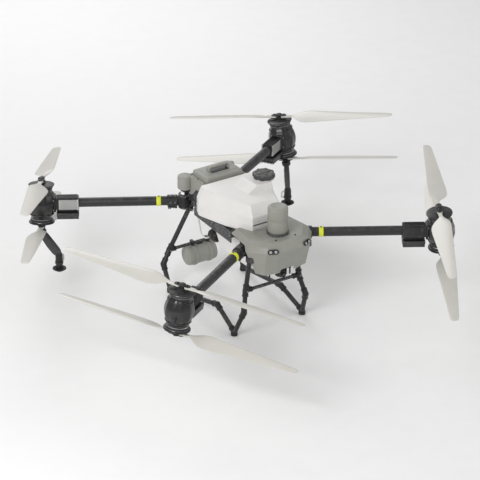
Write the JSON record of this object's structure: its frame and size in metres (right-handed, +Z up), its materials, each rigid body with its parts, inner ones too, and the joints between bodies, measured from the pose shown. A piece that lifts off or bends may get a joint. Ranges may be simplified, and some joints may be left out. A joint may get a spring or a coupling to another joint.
{
  "type": "agricultural spray drone",
  "caption": "Folding coaxial multirotor for crop spraying, with a lift-out liquid tank and battery, rear spray lances, radar domes and tubular landing gear.",
  "frame": {"origin": "on the ground, under the middle of the machine's overall box", "axes": "+Z up, -Y towards the nose, +X towards the aircraft's left side"},
  "size_m": [2.4772, 2.6454, 0.789],
  "materials": {
    "battery_case": "warm grey moulded plastic with dark trim",
    "black_frame": "black coated aluminium and carbon",
    "blade_composite": "cream-white nylon and carbon blade",
    "board_green": "circuit board",
    "carbon_tube": "carbon fibre tube with a lacquer coat",
    "disc_plastic": "black plastic",
    "grey_shell": "warm grey moulded plastic",
    "hose_white": "white polyethylene hose",
    "hub_metal": "dark anodised aluminium",
    "lance_plastic": "dark grey plastic",
    "lever_plastic": "black plastic",
    "lid_plastic": "dark textured plastic",
    "motor_housing": "gloss black pod",
    "pin_steel": "zinc plated steel",
    "sensor_black": "black window with pale lenses",
    "tank_plastic": "off-white blow-moulded plastic"
  },
  "bodies": {
    "airframe": {"side_rail_left": "black_frame", "side_rail_right": "black_frame", "crossmembers": "black_frame", "arm_hinge_pins": "pin_steel", "nose_cover": "grey_shell", "front_radar": "grey_shell", "vision_sensors": "sensor_black", "camera_bracket": "black_frame", "landing_gear_left": "black_frame", "landing_gear_right": "black_frame", "crossbars": "black_frame", "rear_radar": "grey_shell", "battery_bay": "grey_shell", "avionics": "board_green", "pumps": "black_frame", "liquid_hoses": "hose_white"},
    "front_left_arm": {"front_left_arm": "carbon_tube", "front_left_motor": "motor_housing"},
    "front_left_lock_lever": {"front_left_lock_lever": "lever_plastic"},
    "front_left_upper_rotor": {"front_left_upper_hub": "hub_metal"},
    "front_left_upper_blade_a": {"front_left_upper_blade_a": "blade_composite"},
    "front_left_upper_blade_b": {"front_left_upper_blade_b": "blade_composite"},
    "front_left_lower_rotor": {"front_left_lower_hub": "hub_metal"},
    "front_left_lower_blade_a": {"front_left_lower_blade_a": "blade_composite"},
    "front_left_lower_blade_b": {"front_left_lower_blade_b": "blade_composite"},
    "front_right_arm": {"front_right_arm": "carbon_tube", "front_right_motor": "motor_housing"},
    "front_right_lock_lever": {"front_right_lock_lever": "lever_plastic"},
    "front_right_upper_rotor": {"front_right_upper_hub": "hub_metal"},
    "front_right_upper_blade_a": {"front_right_upper_blade_a": "blade_composite"},
    "front_right_upper_blade_b": {"front_right_upper_blade_b": "blade_composite"},
    "front_right_lower_rotor": {"front_right_lower_hub": "hub_metal"},
    "front_right_lower_blade_a": {"front_right_lower_blade_a": "blade_composite"},
    "front_right_lower_blade_b": {"front_right_lower_blade_b": "blade_composite"},
    "rear_left_arm": {"rear_left_arm": "carbon_tube", "rear_left_motor": "motor_housing", "left_spray_lance": "lance_plastic"},
    "rear_left_lock_lever": {"rear_left_lock_lever": "lever_plastic"},
    "rear_left_upper_rotor": {"rear_left_upper_hub": "hub_metal"},
    "rear_left_upper_blade_a": {"rear_left_upper_blade_a": "blade_composite"},
    "rear_left_upper_blade_b": {"rear_left_upper_blade_b": "blade_composite"},
    "rear_left_lower_rotor": {"rear_left_lower_hub": "hub_metal"},
    "rear_left_lower_blade_a": {"rear_left_lower_blade_a": "blade_composite"},
    "rear_left_lower_blade_b": {"rear_left_lower_blade_b": "blade_composite"},
    "left_atomiser_disc": {"left_atomiser_disc": "disc_plastic"},
    "rear_right_arm": {"rear_right_arm": "carbon_tube", "rear_right_motor": "motor_housing", "right_spray_lance": "lance_plastic"},
    "rear_right_lock_lever": {"rear_right_lock_lever": "lever_plastic"},
    "rear_right_upper_rotor": {"rear_right_upper_hub": "hub_metal"},
    "rear_right_upper_blade_a": {"rear_right_upper_blade_a": "blade_composite"},
    "rear_right_upper_blade_b": {"rear_right_upper_blade_b": "blade_composite"},
    "rear_right_lower_rotor": {"rear_right_lower_hub": "hub_metal"},
    "rear_right_lower_blade_a": {"rear_right_lower_blade_a": "blade_composite"},
    "rear_right_lower_blade_b": {"rear_right_lower_blade_b": "blade_composite"},
    "right_atomiser_disc": {"right_atomiser_disc": "disc_plastic"},
    "spray_tank": {"spray_tank": "tank_plastic"},
    "tank_lid": {"tank_lid": "lid_plastic"},
    "battery": {"battery": "battery_case"},
    "forward_camera": {"forward_camera": "sensor_black"}
  },
  "joints": [
    {"name": "front_left_arm_fold", "type": "hinge", "parent": "airframe", "child": "front_left_arm", "pos_m": [0.162, -0.31035, 0.522], "axis": [0.0559, 0.1052, -0.9929], "range_deg": [-93.5, 0]},
    {"name": "front_left_lever_turn", "type": "hinge", "parent": "front_left_arm", "child": "front_left_lock_lever", "pos_m": [0.23021, -0.35216, 0.482], "axis": [-0.5225, -0.8526, 0], "range_deg": [0, 75]},
    {"name": "front_left_upper_spin", "type": "hinge", "parent": "front_left_arm", "child": "front_left_upper_rotor", "pos_m": [0.831, -0.72035, 0.522], "axis": [-0.1244, -0.0405, 0.9914], "continuous": true},
    {"name": "front_left_upper_blade_a_fold", "type": "hinge", "parent": "front_left_upper_rotor", "child": "front_left_upper_blade_a", "pos_m": [0.82855, -0.70264, 0.65455], "axis": [-0.1244, -0.0405, 0.9914], "range_deg": [-125, 0]},
    {"name": "front_left_upper_blade_b_fold", "type": "hinge", "parent": "front_left_upper_rotor", "child": "front_left_upper_blade_b", "pos_m": [0.80087, -0.74869, 0.6492], "axis": [0.1244, 0.0405, -0.9914], "range_deg": [-30, 0]},
    {"name": "front_left_lower_spin", "type": "hinge", "parent": "front_left_arm", "child": "front_left_lower_rotor", "pos_m": [0.831, -0.72035, 0.522], "axis": [-0.1244, -0.0405, 0.9914], "continuous": true},
    {"name": "front_left_lower_blade_a_fold", "type": "hinge", "parent": "front_left_lower_rotor", "child": "front_left_lower_blade_a", "pos_m": [0.86113, -0.69202, 0.3948], "axis": [-0.1244, -0.0405, 0.9914], "range_deg": [-125, 0]},
    {"name": "front_left_lower_blade_b_fold", "type": "hinge", "parent": "front_left_lower_rotor", "child": "front_left_lower_blade_b", "pos_m": [0.83345, -0.73807, 0.38945], "axis": [0.1244, 0.0405, -0.9914], "range_deg": [-30, 0]},
    {"name": "front_right_arm_fold", "type": "hinge", "parent": "airframe", "child": "front_right_arm", "pos_m": [-0.162, -0.31035, 0.522], "axis": [0.0559, -0.1052, 0.9929], "range_deg": [-93.5, 0]},
    {"name": "front_right_lever_turn", "type": "hinge", "parent": "front_right_arm", "child": "front_right_lock_lever", "pos_m": [-0.23021, -0.35216, 0.482], "axis": [-0.5225, 0.8526, 0], "range_deg": [0, 75]},
    {"name": "front_right_upper_spin", "type": "hinge", "parent": "front_right_arm", "child": "front_right_upper_rotor", "pos_m": [-0.831, -0.72035, 0.522], "axis": [-0.1244, 0.0405, -0.9914], "continuous": true},
    {"name": "front_right_upper_blade_a_fold", "type": "hinge", "parent": "front_right_upper_rotor", "child": "front_right_upper_blade_a", "pos_m": [-0.82855, -0.70264, 0.65455], "axis": [-0.1244, 0.0405, -0.9914], "range_deg": [-125, 0]},
    {"name": "front_right_upper_blade_b_fold", "type": "hinge", "parent": "front_right_upper_rotor", "child": "front_right_upper_blade_b", "pos_m": [-0.80087, -0.74869, 0.6492], "axis": [0.1244, -0.0405, 0.9914], "range_deg": [-30, 0]},
    {"name": "front_right_lower_spin", "type": "hinge", "parent": "front_right_arm", "child": "front_right_lower_rotor", "pos_m": [-0.831, -0.72035, 0.522], "axis": [-0.1244, 0.0405, -0.9914], "continuous": true},
    {"name": "front_right_lower_blade_a_fold", "type": "hinge", "parent": "front_right_lower_rotor", "child": "front_right_lower_blade_a", "pos_m": [-0.86113, -0.69202, 0.3948], "axis": [-0.1244, 0.0405, -0.9914], "range_deg": [-125, 0]},
    {"name": "front_right_lower_blade_b_fold", "type": "hinge", "parent": "front_right_lower_rotor", "child": "front_right_lower_blade_b", "pos_m": [-0.83345, -0.73807, 0.38945], "axis": [0.1244, -0.0405, 0.9914], "range_deg": [-30, 0]},
    {"name": "rear_left_arm_fold", "type": "hinge", "parent": "airframe", "child": "rear_left_arm", "pos_m": [0.127, 0.35064, 0.522], "axis": [0.0423, -0.0733, 0.9964], "range_deg": [-90.8, 0]},
    {"name": "rear_left_lever_turn", "type": "hinge", "parent": "rear_left_arm", "child": "rear_left_lock_lever", "pos_m": [0.19573, 0.39159, 0.482], "axis": [0.5119, -0.8591, 0], "range_deg": [0, 75]},
    {"name": "rear_left_upper_spin", "type": "hinge", "parent": "rear_left_arm", "child": "rear_left_upper_rotor", "pos_m": [0.8, 0.75165, 0.522], "axis": [0.0958, -0.1277, -0.9872], "continuous": true},
    {"name": "rear_left_upper_blade_a_fold", "type": "hinge", "parent": "rear_left_upper_rotor", "child": "rear_left_upper_blade_a", "pos_m": [0.8035, 0.74709, 0.65563], "axis": [0.0958, -0.1277, -0.9872], "range_deg": [-115, 0]},
    {"name": "rear_left_upper_blade_b_fold", "type": "hinge", "parent": "rear_left_upper_rotor", "child": "rear_left_upper_blade_b", "pos_m": [0.77141, 0.78966, 0.64701], "axis": [-0.0958, 0.1277, 0.9872], "range_deg": [-20, 0]},
    {"name": "rear_left_lower_spin", "type": "hinge", "parent": "rear_left_arm", "child": "rear_left_lower_rotor", "pos_m": [0.8, 0.75165, 0.522], "axis": [0.0958, -0.1277, -0.9872], "continuous": true},
    {"name": "rear_left_lower_blade_a_fold", "type": "hinge", "parent": "rear_left_lower_rotor", "child": "rear_left_lower_blade_a", "pos_m": [0.82859, 0.71363, 0.39699], "axis": [0.0958, -0.1277, -0.9872], "range_deg": [-115, 0]},
    {"name": "rear_left_lower_blade_b_fold", "type": "hinge", "parent": "rear_left_lower_rotor", "child": "rear_left_lower_blade_b", "pos_m": [0.7965, 0.7562, 0.38837], "axis": [-0.0958, 0.1277, 0.9872], "range_deg": [-20, 0]},
    {"name": "left_disc_spin", "type": "hinge", "parent": "rear_left_arm", "child": "left_atomiser_disc", "pos_m": [0.76444, 0.63873, 0.158], "axis": [0, 0, 1], "continuous": true},
    {"name": "rear_right_arm_fold", "type": "hinge", "parent": "airframe", "child": "rear_right_arm", "pos_m": [-0.127, 0.35064, 0.522], "axis": [0.0423, 0.0733, -0.9964], "range_deg": [-90.8, 0]},
    {"name": "rear_right_lever_turn", "type": "hinge", "parent": "rear_right_arm", "child": "rear_right_lock_lever", "pos_m": [-0.19573, 0.39159, 0.482], "axis": [0.5119, 0.8591, 0], "range_deg": [0, 75]},
    {"name": "rear_right_upper_spin", "type": "hinge", "parent": "rear_right_arm", "child": "rear_right_upper_rotor", "pos_m": [-0.8, 0.75165, 0.522], "axis": [0.0958, 0.1277, 0.9872], "continuous": true},
    {"name": "rear_right_upper_blade_a_fold", "type": "hinge", "parent": "rear_right_upper_rotor", "child": "rear_right_upper_blade_a", "pos_m": [-0.8035, 0.74709, 0.65563], "axis": [0.0958, 0.1277, 0.9872], "range_deg": [-115, 0]},
    {"name": "rear_right_upper_blade_b_fold", "type": "hinge", "parent": "rear_right_upper_rotor", "child": "rear_right_upper_blade_b", "pos_m": [-0.77141, 0.78966, 0.64701], "axis": [-0.0958, -0.1277, -0.9872], "range_deg": [-20, 0]},
    {"name": "rear_right_lower_spin", "type": "hinge", "parent": "rear_right_arm", "child": "rear_right_lower_rotor", "pos_m": [-0.8, 0.75165, 0.522], "axis": [0.0958, 0.1277, 0.9872], "continuous": true},
    {"name": "rear_right_lower_blade_a_fold", "type": "hinge", "parent": "rear_right_lower_rotor", "child": "rear_right_lower_blade_a", "pos_m": [-0.82859, 0.71363, 0.39699], "axis": [0.0958, 0.1277, 0.9872], "range_deg": [-115, 0]},
    {"name": "rear_right_lower_blade_b_fold", "type": "hinge", "parent": "rear_right_lower_rotor", "child": "rear_right_lower_blade_b", "pos_m": [-0.7965, 0.7562, 0.38837], "axis": [-0.0958, -0.1277, -0.9872], "range_deg": [-20, 0]},
    {"name": "right_disc_spin", "type": "hinge", "parent": "rear_right_arm", "child": "right_atomiser_disc", "pos_m": [-0.76444, 0.63873, 0.158], "axis": [0, 0, -1], "continuous": true},
    {"name": "tank_lift", "type": "slide", "parent": "airframe", "child": "spray_tank", "axis": [0, 0, 1], "range_m": [0, 0.3]},
    {"name": "lid_unscrew", "type": "hinge", "parent": "spray_tank", "child": "tank_lid", "pos_m": [0.128, -0.05835, 0.759], "axis": [0, 0, 1], "range_deg": [0, 270]},
    {"name": "battery_lift", "type": "slide", "parent": "airframe", "child": "battery", "axis": [0, 0, 1], "range_m": [0, 0.25]},
    {"name": "camera_tilt", "type": "hinge", "parent": "airframe", "child": "forward_camera", "pos_m": [0, -0.41735, 0.365], "axis": [1, 0, 0], "range_deg": [-20, 40]}
  ],
  "couplings": [
    {"joint": "front_left_upper_blade_a_fold", "follows": "front_left_arm_fold", "ratio": 1.3369},
    {"joint": "front_left_upper_blade_b_fold", "follows": "front_left_arm_fold", "ratio": 0.32085},
    {"joint": "front_left_lower_blade_a_fold", "follows": "front_left_arm_fold", "ratio": 1.3369},
    {"joint": "front_left_lower_blade_b_fold", "follows": "front_left_arm_fold", "ratio": 0.32085},
    {"joint": "front_right_upper_blade_a_fold", "follows": "front_right_arm_fold", "ratio": 1.3369},
    {"joint": "front_right_upper_blade_b_fold", "follows": "front_right_arm_fold", "ratio": 0.32085},
    {"joint": "front_right_lower_blade_a_fold", "follows": "front_right_arm_fold", "ratio": 1.3369},
    {"joint": "front_right_lower_blade_b_fold", "follows": "front_right_arm_fold", "ratio": 0.32085},
    {"joint": "rear_left_upper_blade_a_fold", "follows": "rear_left_arm_fold", "ratio": 1.2665},
    {"joint": "rear_left_upper_blade_b_fold", "follows": "rear_left_arm_fold", "ratio": 0.22026},
    {"joint": "rear_left_lower_blade_a_fold", "follows": "rear_left_arm_fold", "ratio": 1.2665},
    {"joint": "rear_left_lower_blade_b_fold", "follows": "rear_left_arm_fold", "ratio": 0.22026},
    {"joint": "rear_right_upper_blade_a_fold", "follows": "rear_right_arm_fold", "ratio": 1.2665},
    {"joint": "rear_right_upper_blade_b_fold", "follows": "rear_right_arm_fold", "ratio": 0.22026},
    {"joint": "rear_right_lower_blade_a_fold", "follows": "rear_right_arm_fold", "ratio": 1.2665},
    {"joint": "rear_right_lower_blade_b_fold", "follows": "rear_right_arm_fold", "ratio": 0.22026}
  ]
}
